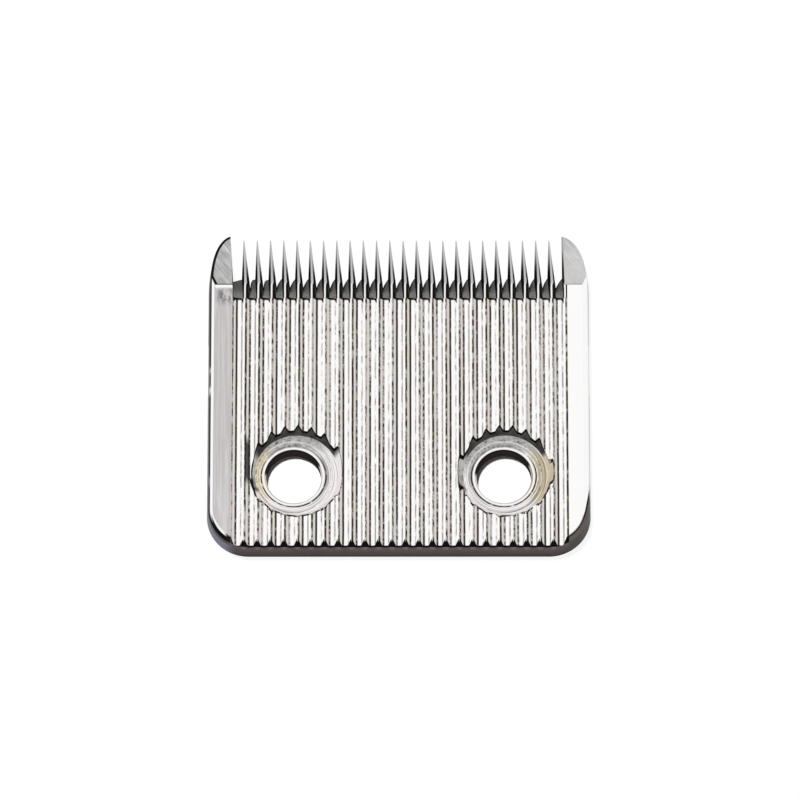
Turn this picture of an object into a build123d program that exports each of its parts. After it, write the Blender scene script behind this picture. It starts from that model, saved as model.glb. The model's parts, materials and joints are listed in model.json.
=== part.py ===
from build123d import *
import math
import os

# Ribbed comb blade of a hair clipper: the fixed plate that the cutter slides on.
# It is ground from one piece of hardened steel, so the whole blade is one solid.
# Millimetres. The blade lies on its flat running face, in the plane Z = 0. The
# ribbed skin side looks up, the teeth point along +Y, and the origin lies on the
# running face, midway between the two screw holes.

# Plate
plate_width = 49.3
plate_thickness = 3.5
heel_distance = 10.3        # screw hole line to the heel edge
wall_draft = 5.2            # degrees, the outer walls lean in towards the top
corner_radius = 5.4
edge_chamfer = 0.62

# Ribs of the skin side
rib_count = 24
rib_pitch = 1.725
rib_height = 0.75
rib_crest = 0.14
rib_flank = 0.49            # sideways run of one flank
groove_fillet = 0.16

# Bevel that thins the teeth and the two lugs towards their tips
crease_distance = 26.0      # screw hole line to the start of the bevel
tip_distance = 33.5         # screw hole line to the tooth tips
tip_thickness = 0.45

# Lugs that guard the outermost teeth
lug_reach = 8.2             # crease to the lug tips
lug_curve_width = 3.1
lug_gap_half = 21.45        # blade centre to a lug's inner wall, at the tooth roots
lug_draft = 2.0             # degrees, the inner walls lean in towards the top
lug_lean = 3.4              # degrees that the inner walls run off the ribs, to the left

# Teeth, measured on the running face
tooth_root_width = 1.13
tooth_tip_width = 0.15
tooth_draft = 7.5           # degrees, each flank leans in towards the top
tooth_lean = 2.5            # degrees that the teeth lean off the ribs, to the left

# Gullets, the sloping floors behind the tooth slots
gullet_top = 24.3           # screw hole line to the gullets' upper edge
gullet_foot_left = 27.0
gullet_foot_right = 28.1

# Screw seats
hole_spacing = 27.0
hole_diameter = 7.05
hole_chamfer = 0.65         # width of the cone round the hole
hole_chamfer_depth = 0.35
seat_diameter = 10.8
seat_depth = 1.5            # rib crests to the seat floor
seat_wall_angle = 31.0      # degrees off upright

# Relief channel across the running face, between its two ground races
relief_start = 11.5
relief_end = 19.0
relief_depth = 0.5

# Length by which a cutting shape runs past the steel
overrun = 1.0

# Places that follow from these sizes
front_edge = crease_distance + lug_reach
side_x = plate_width / 2
heel_end = side_x - corner_radius
corner_end = corner_radius - heel_distance
lug_curve_x = side_x - lug_curve_width
groove_floor = plate_thickness - rib_height
slot_count = rib_count + 1
slot_bottom = -overrun
slot_top = plate_thickness + overrun
bevel_slope = (plate_thickness - tip_thickness) / (tip_distance - crease_distance)
bevel_run = lug_reach + overrun
seat_floor = plate_thickness - seat_depth
seat_wall_height = seat_depth + overrun
seat_mouth_radius = seat_diameter / 2 + seat_wall_height * math.tan(math.radians(seat_wall_angle))

# Heights of the plate's outline and how far in it lies: foot, shoulder, top
wall_slope = math.tan(math.radians(wall_draft))
shoulder = plate_thickness - edge_chamfer
plate_levels = (
    (0, 0),
    (shoulder, wall_slope * shoulder),
    (plate_thickness, wall_slope * shoulder + edge_chamfer),
)


def rib_x(index):
    """Centre of a rib; 0 and rib_count + 1 are the places next to the lugs."""
    return (index - (rib_count + 1) / 2) * rib_pitch


def groove_profile(centre):
    """Corners of the groove between two ribs, opened out above their crests."""
    half_floor = rib_pitch / 2 - rib_crest / 2 - rib_flank
    half_mouth = half_floor + rib_flank * (rib_height + overrun) / rib_height
    return [
        (centre - half_mouth, slot_top),
        (centre - half_floor, groove_floor),
        (centre + half_floor, groove_floor),
        (centre + half_mouth, slot_top),
    ]


# A wall's place changes along Y with the tooth's taper and lean, and with Z by
# its draft. The lugs' inner walls lean too, but have no taper.
tooth_taper = (tooth_root_width - tooth_tip_width) / 2 / (tip_distance - gullet_foot_left)
tooth_lean_slope = -math.tan(math.radians(tooth_lean))
tooth_draft_slope = math.tan(math.radians(tooth_draft))
tip_shift = tooth_lean_slope * (tip_distance - gullet_foot_left)
lug_lean_slope = -math.tan(math.radians(lug_lean))
lug_draft_slope = math.tan(math.radians(lug_draft))


def slot_walls(index):
    """Root place, slope along Y and slope along Z of a slot's two walls."""
    half_root = tooth_root_width / 2
    left = (rib_x(index) + half_root, tooth_lean_slope - tooth_taper, -tooth_draft_slope)
    right = (rib_x(index + 1) - half_root, tooth_lean_slope + tooth_taper, tooth_draft_slope)
    if index == 0:
        left = (-lug_gap_half, lug_lean_slope, -lug_draft_slope)
    if index == rib_count:
        right = (lug_gap_half, lug_lean_slope, lug_draft_slope)
    return left, right


def wall_x(wall, y, level):
    """Place of a slot's wall at a distance from the screw holes and a height."""
    root, slope_y, slope_z = wall
    return root + slope_y * (y - gullet_foot_left) + slope_z * level


def slot_corners(index, level):
    """Corners of a slot at one height; its sloping gullet is the near edge."""
    left, right = slot_walls(index)
    rise = level / groove_floor
    left_foot = gullet_foot_left - (gullet_foot_left - gullet_top) * rise
    right_foot = gullet_foot_right - (gullet_foot_right - gullet_top) * rise
    mouth = front_edge + overrun
    return [
        (wall_x(left, left_foot, level), left_foot, level),
        (wall_x(right, right_foot, level), right_foot, level),
        (wall_x(right, mouth, level), mouth, level),
        (wall_x(left, mouth, level), mouth, level),
    ]


with BuildPart() as comb_blade:
    # Plate: straight heel, round heel corners, straight sides and a quarter
    # ellipse over each lug, lofted through the foot, shoulder and skin side
    for level, inset in plate_levels:
        with BuildSketch(Plane.XY.offset(level)):
            with BuildLine():
                heel_y = inset - heel_distance
                heel = Line((-heel_end, heel_y), (heel_end, heel_y))
                side_start = (side_x - inset, corner_end)
                right_corner = RadiusArc(heel @ 1, side_start, inset - corner_radius)
                Line(right_corner @ 1, (side_x - inset, crease_distance))
                right_lug = EllipticalCenterArc(
                    (lug_curve_x, crease_distance), lug_curve_width - inset, lug_reach - inset
                )
                mirror(about=Plane.YZ)
                Line(right_lug @ 1, (-lug_curve_x, front_edge - inset))
            make_face()
    loft(ruled=True)

    # Bevel across the teeth and lugs
    with BuildSketch(Plane.YZ):
        with BuildLine():
            Polyline(
                (crease_distance, plate_thickness),
                (crease_distance + bevel_run, plate_thickness - bevel_slope * bevel_run),
                (crease_distance + bevel_run, plate_thickness + overrun),
                (crease_distance, plate_thickness + overrun),
                close=True,
            )
        make_face()
    extrude(amount=plate_width, both=True, mode=Mode.SUBTRACT)

    # Grooves between the ribs, from the heel to the tips
    with BuildSketch(Plane.XZ):
        for slot in range(slot_count):
            with BuildLine():
                Polyline(*groove_profile(rib_x(slot) + rib_pitch / 2), close=True)
            make_face()
        floor_corners = vertices().filter_by(lambda corner: corner.Z < plate_thickness)
        fillet(floor_corners, groove_fillet)
    extrude(amount=front_edge + overrun, both=True, mode=Mode.SUBTRACT)

    # Tooth slots, each a wedge between its corners below and above the plate
    for slot in range(slot_count):
        ConvexPolyhedron(
            slot_corners(slot, slot_bottom) + slot_corners(slot, slot_top),
            mode=Mode.SUBTRACT,
        )

    # Tooth tips, ground back to one line between the lugs
    with BuildSketch():
        with Locations((tip_shift, tip_distance)):
            Rectangle(rib_count * rib_pitch, lug_reach, align=(Align.CENTER, Align.MIN))
    extrude(amount=plate_thickness, mode=Mode.SUBTRACT)

    # Screw seats: sloping wall, flat floor, cone and through hole
    with GridLocations(hole_spacing, 0, 2, 1):
        with Locations((0, 0, seat_floor)):
            Cone(
                seat_diameter / 2,
                seat_mouth_radius,
                seat_wall_height,
                align=(Align.CENTER, Align.CENTER, Align.MIN),
                mode=Mode.SUBTRACT,
            )
            Cone(
                hole_diameter / 2,
                hole_diameter / 2 + hole_chamfer,
                hole_chamfer_depth,
                align=(Align.CENTER, Align.CENTER, Align.MAX),
                mode=Mode.SUBTRACT,
            )
            Hole(hole_diameter / 2)

    # Relief channel across the running face, with sides sloped at 45 degrees
    with BuildSketch(Plane.YZ):
        with BuildLine():
            Polyline(
                (relief_start, 0),
                (relief_start + relief_depth, relief_depth),
                (relief_end - relief_depth, relief_depth),
                (relief_end, 0),
                close=True,
            )
        make_face()
    extrude(amount=plate_width, both=True, mode=Mode.SUBTRACT)

comb_blade.part.label = "comb_blade"

os.makedirs("parts", exist_ok=True)
export_step(comb_blade.part, "parts/comb_blade.step")
print("comb_blade volume", round(comb_blade.part.volume), "mm3")
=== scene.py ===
# %% [markdown]
# # Dressing a clipper's comb blade
#
# A comb blade is a flat plate of hardened steel. A grinding wheel has cut ribs into
# its skin side, a bevel thins its front edge, and slots turn that edge into teeth.
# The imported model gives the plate's size and its screw holes. This lesson builds the
# blade again as a finer mesh, cut by cut, so that each cut can carry its own finish.

import json
import math

import bmesh
import bpy
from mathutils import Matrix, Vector


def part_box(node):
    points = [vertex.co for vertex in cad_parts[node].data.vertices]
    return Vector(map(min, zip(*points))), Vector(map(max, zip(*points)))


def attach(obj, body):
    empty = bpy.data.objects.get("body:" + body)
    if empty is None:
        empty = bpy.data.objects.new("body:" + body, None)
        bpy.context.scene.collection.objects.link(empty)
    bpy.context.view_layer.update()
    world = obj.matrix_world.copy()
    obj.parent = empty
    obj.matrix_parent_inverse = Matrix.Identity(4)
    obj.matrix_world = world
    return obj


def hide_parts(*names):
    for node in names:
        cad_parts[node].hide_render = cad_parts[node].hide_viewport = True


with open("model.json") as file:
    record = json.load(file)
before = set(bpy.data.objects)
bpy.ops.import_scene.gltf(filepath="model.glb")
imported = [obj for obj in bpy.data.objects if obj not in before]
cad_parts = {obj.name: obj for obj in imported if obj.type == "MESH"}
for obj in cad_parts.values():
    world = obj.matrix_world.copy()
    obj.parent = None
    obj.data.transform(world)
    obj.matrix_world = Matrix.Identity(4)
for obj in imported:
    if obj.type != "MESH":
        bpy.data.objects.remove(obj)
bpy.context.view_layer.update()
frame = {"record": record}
blade_low, blade_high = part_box("comb_blade")
print("packed blade, in mm:", [round(1000 * side, 2) for side in blade_high - blade_low])

# %% [markdown]
# ## Sizes
#
# Blender works in metres here, so sizes are written in millimetres times MM. The
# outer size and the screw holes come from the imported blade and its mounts. The rest
# are the sizes that a grinder would set up one by one.

# %% Sizes from the frame
MM = 0.001
plate_thickness = blade_high.z
plate_half = blade_high.x
heel_distance = -blade_low.y
front_edge = blade_high.y
screw_hole = next(m for m in frame["record"]["mounts"] if m["name"] == "right_screw_hole")
hole_x = screw_hole["pos_m"][0]
hole_radius = screw_hole["dims"]["r_mm"] * MM
print("holes at x = +-%.1f mm, radius %.3f mm" % (hole_x / MM, hole_radius / MM))

# %% Sizes of the plate's outline
corner_radius = 5.4 * MM
wall_slope = math.tan(math.radians(5.2))
edge_chamfer = 0.62 * MM
edge_break = 0.05 * MM
crease_distance = 26.0 * MM
left_lug_curve = 3.1 * MM
right_lug_curve = 3.9 * MM
shoulder = plate_thickness - edge_chamfer
print("walls rise %.2f mm to the chamfer" % (shoulder / MM))

# %% Sizes of the ribs, the teeth and the seats
rib_sizes = {
    "Rib Count": 24,
    "Rib Pitch": 1.725 * MM,
    "Rib Height": 0.75 * MM,
    "Rib Crest": 0.14 * MM,
    "Rib Flank": 0.49 * MM,
    "Groove Fillet": 0.16 * MM,
}
tooth_sizes = {
    "Crease": crease_distance,
    "Tip": 33.5 * MM,
    "Tip Thickness": 0.45 * MM,
    "Root Width": 1.13 * MM,
    "Tip Width": 0.15 * MM,
    "Tooth Draft": math.tan(math.radians(7.5)),
    "Lean": -math.tan(math.radians(2.5)),
    "Left Gap Half": 21.45 * MM,
    "Right Gap Half": 21.22 * MM,
    "Lug Draft": math.tan(math.radians(2.0)),
    "Left Lug Lean": -math.tan(math.radians(3.4)),
    "Right Lug Lean": -math.tan(math.radians(0.3)),
    "Gullet Top": 24.3 * MM,
    "Gullet Slant": 0.24 * MM,
    "Foot Left": 27.0 * MM,
    "Foot Right": 28.2 * MM,
    "First Foot": 27.85 * MM,
    "Worn Slots": 3,
}
seat_sizes = {
    "Hole X": hole_x,
    "Hole Radius": hole_radius,
    "Hole Chamfer": 0.65 * MM,
    "Chamfer Depth": 0.35 * MM,
    "Seat Radius": 5.4 * MM,
    "Seat Depth": 1.5 * MM,
    "Seat Slope": math.tan(math.radians(31.0)),
    "Left Shift": 0.38 * MM,
    "Right Shift": 0.2 * MM,
    "Front Shift": 0.22 * MM,
}
relief_sizes = {"Start": 11.5 * MM, "End": 19.0 * MM, "Depth": 0.5 * MM}
print("%d ribs, %.3f mm apart" % (rib_sizes["Rib Count"], rib_sizes["Rib Pitch"] / MM))

# %% [markdown]
# ## One way to write nodes
#
# Both the cuts and the finishes are node trees. Two small classes keep them short:
# Value wraps a socket, so that `a * b + 1` adds the Math nodes by itself, and Nodes
# adds any other node from its type, its settings and its sockets.


# %% A socket that can be calculated with
def operator(operation, swapped=False):
    """What one of Python's operators does: it adds a Math node."""

    def apply(self, other):
        values = (other, self) if swapped else (self, other)
        return self.nodes.math(operation, *values)

    return apply


class Value:
    """One output of a node. Python's operators on it add Math nodes."""

    __add__ = operator("ADD")
    __radd__ = operator("ADD", swapped=True)
    __sub__ = operator("SUBTRACT")
    __rsub__ = operator("SUBTRACT", swapped=True)
    __mul__ = operator("MULTIPLY")
    __rmul__ = operator("MULTIPLY", swapped=True)
    __truediv__ = operator("DIVIDE")
    __rtruediv__ = operator("DIVIDE", swapped=True)
    __pow__ = operator("POWER")
    __rpow__ = operator("POWER", swapped=True)
    __gt__ = operator("GREATER_THAN")
    __lt__ = operator("LESS_THAN")

    def __init__(self, nodes, socket):
        self.nodes = nodes
        self.socket = socket

    def __neg__(self):
        return self.nodes.math("MULTIPLY", self, -1.0)

    def __abs__(self):
        return self.nodes.math("ABSOLUTE", self)


# %% A tree that nodes are added to
class Nodes:
    """Adds nodes to one tree, for geometry or for a material."""

    def __init__(self, tree):
        self.tree = tree

    def add(self, kind, settings=None, sockets=None, output=0):
        """A node with its settings made first, then its sockets. Gives one output."""
        node = self.tree.nodes.new(kind)
        for name, setting in (settings or {}).items():
            setattr(node, name, setting)
        for name, content in (sockets or {}).items():
            if isinstance(content, Value):
                self.tree.links.new(content.socket, node.inputs[name])
            else:
                node.inputs[name].default_value = content
        return Value(self, node.outputs[output]) if node.outputs else node

    def math(self, operation, *values):
        return self.add("ShaderNodeMath", {"operation": operation}, dict(enumerate(values)))

    def split(self, vector):
        """The x, y and z of a vector."""
        first = self.add("ShaderNodeSeparateXYZ", sockets={"Vector": vector})
        return [Value(self, first.socket.node.outputs[axis]) for axis in range(3)]

    def join(self, x, y, z):
        return self.add("ShaderNodeCombineXYZ", sockets={"X": x, "Y": y, "Z": z})

    def choose(self, test, when_false, when_true):
        """One of two numbers, by a test that is 0 or 1."""
        return when_false + (when_true - when_false) * test

    def least(self, first, second):
        return self.math("MINIMUM", first, second)

    def most(self, first, second):
        return self.math("MAXIMUM", first, second)

    def length(self, x, y):
        """How long a step is that goes x one way and y across it."""
        return self.math("SQRT", x * x + y * y)


print("node helpers ready")

# %% [markdown]
# ## The blank
#
# The plate is stamped before it is ground: a straight heel, two round corners, and a
# quarter ellipse over each lug. Its walls lean in a little and its upper edge is
# chamfered. A bevelled cube would come near, but not to leaning walls over an
# ellipse. A loft between a few rings of points says just that, so the blank is plain
# mesh code, and every later cut is a Geometry Nodes modifier on it.


# %% Outline of the plate at one inset
def arc(centre, radius_x, radius_y, start, end, steps):
    """Points on a stretch of an ellipse, angles in degrees."""
    points = []
    for step in range(steps + 1):
        angle = math.radians(start + (end - start) * step / steps)
        points.append(
            (centre[0] + radius_x * math.cos(angle), centre[1] + radius_y * math.sin(angle))
        )
    return points


def half_outline(inset, lug_curve):
    """Heel corner and lug of the right half, moved in by inset."""
    corner = (plate_half - corner_radius, corner_radius - heel_distance)
    lug = (plate_half - lug_curve, crease_distance)
    radius = corner_radius - inset
    points = arc(corner, radius, radius, -90, 0, 32)
    return points + arc(lug, lug_curve - inset, front_edge - crease_distance - inset, 0, 90, 40)


def outline(inset):
    """The plate's outline, moved in by inset, anticlockwise from the heel."""
    left = half_outline(inset, left_lug_curve)
    return half_outline(inset, right_lug_curve) + [(-x, y) for x, y in reversed(left)]


# %% Loft the rings into a closed blank
plate_levels = (
    (0, edge_break),
    (edge_break, wall_slope * edge_break),
    (shoulder, wall_slope * shoulder),
    (plate_thickness - edge_break, wall_slope * shoulder + edge_chamfer - edge_break),
    (plate_thickness, wall_slope * shoulder + edge_chamfer + edge_break),
)


def loft(levels):
    """A closed mesh through one outline for each height and inset."""
    shell = bmesh.new()
    rings = [[shell.verts.new((x, y, z)) for x, y in outline(inset)] for z, inset in levels]
    for lower, upper in zip(rings, rings[1:]):
        for index in range(len(lower)):
            ahead = (index + 1) % len(lower)
            shell.faces.new((lower[index], lower[ahead], upper[ahead], upper[index]))
    shell.faces.new(reversed(rings[0]))
    shell.faces.new(rings[-1])
    mesh = bpy.data.meshes.new("comb_blade_skin")
    shell.to_mesh(mesh)
    shell.free()
    return mesh


blank = bpy.data.objects.new("comb_blade_skin", loft(plate_levels))
bpy.context.scene.collection.objects.link(blank)
print("blank:", len(blank.data.vertices), "points")

# %% [markdown]
# ## Finishes: shared helpers
#
# Ground steel has no colour of its own. What tells one surface from the next is which
# way its grinding lines run, how much dark scale the wheel has left, how far oil
# has stained it, and the light and shade that are painted into its colour. The helpers
# below give the things that these finishes share: a place in millimetres, streaks
# that are long in one direction, soft thresholds and lines, colours laid over each
# other, and a few greys.


# %% A material to write on
class Finish(Nodes):
    """A steel finish. Places are the piece's own, in millimetres."""

    def __init__(self, name):
        self.material = bpy.data.materials.new(name)
        self.material.use_nodes = True
        super().__init__(self.material.node_tree)
        self.tree.nodes.clear()
        here = self.add("ShaderNodeTexCoord", output="Object")
        self.x, self.y, self.z = [axis * (1 / MM) for axis in self.split(here)]
        facing = self.add("ShaderNodeTexCoord", output="Normal")
        self.facing_x, self.facing_y, self.facing_z = self.split(facing)

    def ramp(self, value, low, high):
        """0 below low, 1 above high, and smooth between."""
        return self.add(
            "ShaderNodeMapRange",
            {"interpolation_type": "SMOOTHSTEP"},
            {"Value": value, "From Min": low, "From Max": high},
        )

    def fall(self, value, low, high):
        """1 below low, 0 above high, and smooth between."""
        return 1 - self.ramp(value, low, high)

    def line(self, value, centre, half_width, soft=0.04):
        """1 where value is within half_width of centre, with soft edges."""
        return self.fall(abs(value - centre), half_width - soft, half_width + soft)

    def on_right(self):
        """0 on the left half of the blade and 1 on the right half."""
        return self.ramp(self.x, -1.0, 1.0)

    def heelward(self, degrees):
        """How far a face looks to the heel, or to the right of it by an angle."""
        turn = math.radians(degrees)
        return self.facing_x * math.sin(turn) - self.facing_y * math.cos(turn)

    def noise(self, x, y, z, detail=3.0, roughness=0.6):
        """Noise from 0 to 1 at a place, with about one wave for each unit."""
        place = self.join(x, y, z)
        return self.add(
            "ShaderNodeTexNoise",
            {"noise_dimensions": "3D"},
            {"Vector": place, "Scale": 1.0, "Detail": detail, "Roughness": roughness},
        )

    def streaks(self, per_x, per_y, detail=3.0, roughness=0.6, shift=0.0):
        """Noise with so many waves for each millimetre along X and Y."""
        return self.noise(
            self.x * per_x + shift, self.y * per_y, self.z * per_x, detail, roughness
        )

    def blend(self, amount, first, second):
        """A colour between two colours, by an amount from 0 to 1."""
        sockets = {"Factor": amount, "A": as_colour(first), "B": as_colour(second)}
        node = self.tree.nodes.new("ShaderNodeMix")
        node.data_type = "RGBA"
        for name, content in sockets.items():
            socket = self.colour_socket(node, name)
            if isinstance(content, Value):
                self.tree.links.new(content.socket, socket)
            else:
                socket.default_value = content
        return Value(self, self.colour_socket(node, "Result"))

    def colour_socket(self, node, name):
        """The colour or factor socket of a Mix node, which has several of a name."""
        kind = "VALUE" if name == "Factor" else "RGBA"
        group = node.outputs if name == "Result" else node.inputs
        return next(s for s in group if s.name == name and s.type == kind and s.enabled)

    def cover(self, colour, *layers):
        """A colour with others laid over it in turn, each by its own amount."""
        for amount, layer in layers:
            colour = self.blend(amount, colour, layer)
        return colour

    def rounded(self, share):
        """Normals turned towards straight up by a share, as on a worn round edge."""
        slope = 1 - share
        turned = self.join(
            self.facing_x * slope, self.facing_y * slope, self.facing_z * slope + share
        )
        return self.add("ShaderNodeVectorMath", {"operation": "NORMALIZE"}, {0: turned})

    def close(self, colour, roughness, height, relief, normal=None):
        """Join the shader: colour, roughness and a relief in millimetres."""
        bump = {"Distance": relief * MM, "Height": height}
        if normal is not None:
            bump["Normal"] = normal
        sockets = {
            "Base Color": colour,
            "Roughness": roughness,
            "Metallic": 1.0,
            "Normal": self.add("ShaderNodeBump", sockets=bump),
        }
        surface = self.add("ShaderNodeBsdfPrincipled", sockets=sockets)
        self.add("ShaderNodeOutputMaterial", sockets={"Surface": surface})
        print("finish:", self.material.name, "-", len(self.tree.nodes), "nodes")
        return self.material


def as_colour(content):
    """A grey level or an RGB triple as a socket's colour; a Value stays."""
    if isinstance(content, Value):
        return content
    if isinstance(content, (int, float)):
        content = (content, content, content)
    return (*content, 1)


# %% Greys that several finishes share
bright_steel = 0.95
# The blacks stand partly for dust and burrs, partly for painted shade.
shadow_and_dust_black = 0.012
burr_and_shade_black = 0.006
deepest_black = 0.003
print("greys from", deepest_black, "to", bright_steel)

# %% [markdown]
# ## Finish of the ribs
#
# The wheel polishes the round floor of a groove almost white. Two dark lines run
# beside every rib, along the right edge of each crest and at the foot of the right
# flank: partly grinding dust, partly painted shade on the side away from the light.
# Each is broken into dashes, a weak line of painted shade lies on the left flank, and
# the right flank itself is painted a shade darker. They could be painted on a texture,
# but a formula stays sharp from any distance: X wrapped at the pitch is the place
# across the nearest rib, so one line of nodes serves all 24. Crest and groove belong
# to different cuts, so both finishes call the same function. Broken hooks of painted
# shadow hang where the two screw seats cut through the ribs.

# %% Places across one rib, in millimetres
pitch = rib_sizes["Rib Pitch"] / MM
crest_half = rib_sizes["Rib Crest"] / MM / 2
flank_foot = crest_half + rib_sizes["Rib Flank"] / MM
thickness = plate_thickness / MM
groove_level = thickness - rib_sizes["Rib Height"] / MM
gullet_start = tooth_sizes["Gullet Top"] / MM
# The crest and foot lines are partly dust, partly painted shade; the line on the left flank is
# painted shade.
crest_line = 0.11
foot_line = 0.64
left_shade_line = -0.41
print("groove floor %.2f mm wide" % (pitch - 2 * flank_foot))


# %% Where a point lies on its rib
def across_rib(steel):
    """Distance to the right of the nearest crest, with a little wander."""
    wander = steel.streaks(0.5, 0.4, shift=5.0)
    centred = steel.math("WRAP", steel.x - pitch / 2, pitch / 2, -pitch / 2)
    return centred + 0.09 * (wander - 0.5)


def rib_surface(steel):
    """How high the ribs stand here, in millimetres."""
    rib_height = thickness - groove_level
    steepness = rib_height / (flank_foot - crest_half)
    drop = (abs(across_rib(steel)) - crest_half) * steepness
    return thickness - steel.least(steel.most(drop, 0.0), rib_height)


# %% Painted shadow at the edges of the two seats
def seat_shadow_marks(steel):
    """Painted shadow: broken black hooks and bands where the ribs meet the two seats."""
    right_seat = steel.x > 0.0
    left_middle = (seat_sizes["Left Shift"] - hole_x) / MM
    right_middle = (seat_sizes["Right Shift"] + hole_x) / MM
    beside = steel.x - steel.choose(right_seat, left_middle, right_middle)
    ahead = steel.y - seat_sizes["Front Shift"] / MM
    wall_height = rib_surface(steel) - (plate_thickness - seat_sizes["Seat Depth"]) / MM
    wall_reach = seat_sizes["Seat Radius"] / MM + seat_sizes["Seat Slope"] * wall_height
    outside = steel.length(beside, ahead) - wall_reach

    chance = steel.streaks(1.3, 1.3, detail=2.0, shift=37.0)
    near = steel.ramp(-ahead, 0.8, 2.2) * steel.ramp(chance, 0.46, 0.52)
    hooks = steel.fall(outside, 0.15, 0.23) * near
    low_left = steel.ramp(-beside, 4.0, 4.5) * steel.line(ahead, -2.1, 1.4, 0.3)
    arc_mark = steel.fall(outside, 0.20, 0.30) * low_left * (1 - right_seat)
    band = steel.line(steel.x, -19.45, 0.34, 0.06) * steel.line(steel.y, 1.8, 2.9, 0.8)
    thin_line = steel.line(steel.x, 7.88, 0.14, 0.05) * steel.line(steel.y, 1.5, 3.8, 0.8)
    return steel.most(steel.most(hooks, arc_mark), steel.most(band, thin_line) * 0.9)


# %% The colour of a rib and its two flanks
def rib_colour(steel):
    """White steel with the lines of dust and painted shade beside each rib."""
    across = across_rib(steel)
    each_rib = steel.streaks(0.62, 0.03, detail=1.0, shift=31.0) - 0.5
    each_foot = steel.streaks(0.62, 0.03, detail=1.0, shift=47.0) - 0.5
    dashes = steel.streaks(1.6, 1.3, detail=4.0, roughness=0.65, shift=1.0)
    grit = steel.streaks(2.0, 2.2, roughness=0.7, shift=8.0)
    faint = steel.streaks(1.2, 1.0, detail=2.0, shift=27.0)
    tint = steel.streaks(0.9, 0.7, detail=2.0, shift=3.0)
    fine = steel.streaks(10.0, 0.25)

    floor = steel.blend(steel.ramp(fine, 0.55, 0.85) * 0.4, (0.99, 0.975, 0.96), 0.80)
    # The right flank is painted a shade darker than the floor, tinted pink or olive.
    pink_or_green = steel.ramp(tint, 0.4, 0.6)
    flank_shade_tint = steel.blend(pink_or_green, (0.75, 0.68, 0.67), (0.70, 0.69, 0.635))
    # The crest line is partly dust, partly painted shade.
    red_or_olive = steel.ramp(tint, 0.46, 0.58)
    dust_and_shade = steel.blend(red_or_olive, (0.034, 0.023, 0.023), (0.085, 0.068, 0.022))
    land = steel.blend(steel.line(across, -0.045, 0.105, 0.03), 0.008, 0.90)
    left_shade_strength = steel.ramp(faint + 0.6 * each_rib, 0.30, 0.62)
    crest_strength = 0.34 + 0.66 * steel.ramp(dashes + 0.6 * each_rib, 0.36, 0.58)
    foot_strength = 0.45 + 0.55 * steel.ramp(grit + 0.9 * each_foot, 0.28, 0.54)
    return steel.cover(
        floor,
        (steel.line(across, (flank_foot + crest_half) / 2, 0.26, 0.03), flank_shade_tint),
        # Painted shade on the left flank.
        (steel.line(across, left_shade_line, 0.085, 0.075) * left_shade_strength, (0.33, 0.30, 0.29)),
        (steel.line(across, crest_line, 0.135) * crest_strength, dust_and_shade),
        # The foot line is partly dust, partly painted shade.
        (steel.line(across, foot_line, 0.13) * foot_strength, (0.040, 0.033, 0.030)),
        (seat_shadow_marks(steel), shadow_and_dust_black),
        # Near the gullets a white land stays on the crest, and beside it the steel is painted
        # black as shade.
        (steel.ramp(steel.y, gullet_start - 0.25, gullet_start - 0.05), land),
    )


# The crest and foot lines are partly dust, partly painted shade; the left flank's line is painted
# shade.
print("lines of dust at", crest_line, foot_line, left_shade_line, "mm from a crest")

# %% [markdown]
# ## Finish of the plate
#
# One finish covers all that is left of the blank: the flat margins beside the ribs,
# the crests, the chamfer, the walls and the running face. A material for each would
# do as well, but stains cross from one to the next, so masks are used: the way that
# a face looks tells them apart. Light and shade are painted into it: the heel wall is
# painted dark as shade, the walls and margins are painted darker on the left than on
# the right and the chamfer darker on the right, and a painted highlight runs along the
# margins at the crease. The skin side is ground bright along the ribs. A last dark
# line, partly dust and partly painted shade, runs where the ribs end at the right margin.

# %% Places on the plate, in millimetres
margin_edge = rib_sizes["Rib Count"] / 2 * pitch + pitch / 2 - 0.2
last_rib_line = margin_edge + 0.45
heel = heel_distance / MM
side = plate_half / MM
crease = crease_distance / MM
shoulder_level = shoulder / MM
print("margins start %.2f mm from the middle" % margin_edge)


def inset_here(steel):
    """How far the plate's outline lies in at this height."""
    return steel.z * wall_slope + steel.most(steel.z - shoulder_level, 0.0)


def between_margins(steel):
    """1 on the ribs and 0 on the margins."""
    from_left = steel.ramp(steel.x, -margin_edge - 0.1, -margin_edge)
    return from_left * steel.fall(steel.x, last_rib_line - 0.03, last_rib_line + 0.03)


# %% Colour of the margins
def margin_colour(steel):
    """The flat margins: streaked, painted grey on the left and bright on the right as shade and
    light.
    """
    fine = steel.streaks(5.0, 0.10, shift=2.0)
    broad = steel.streaks(1.1, 0.10, shift=7.0)
    grime = steel.streaks(1.6, 0.55, detail=5.0, roughness=0.7, shift=21.0)
    near_ribs = steel.line(steel.x, -22.4, 1.0, 0.5)
    near_crease = steel.ramp(steel.y, 22.8, 24.2) * steel.fall(steel.y, 25.2, 25.5)
    smudge = near_ribs * near_crease * steel.ramp(grime, 0.43, 0.57)
    return steel.cover(
        (0.53, 0.51, 0.505),
        (steel.ramp(fine, 0.38, 0.62), (0.62, 0.605, 0.60)),
        (steel.ramp(broad, 0.52, 0.70) * 0.35, 0.86),
        (steel.ramp(steel.x, -10.0, 10.0), (0.965, 0.96, 0.95)),
        (smudge * 0.8, (0.13, 0.125, 0.125)),
        # A painted highlight along the margins at the crease.
        (steel.ramp(steel.y, crease - 0.42, crease - 0.34), 0.96),
    )


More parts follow.
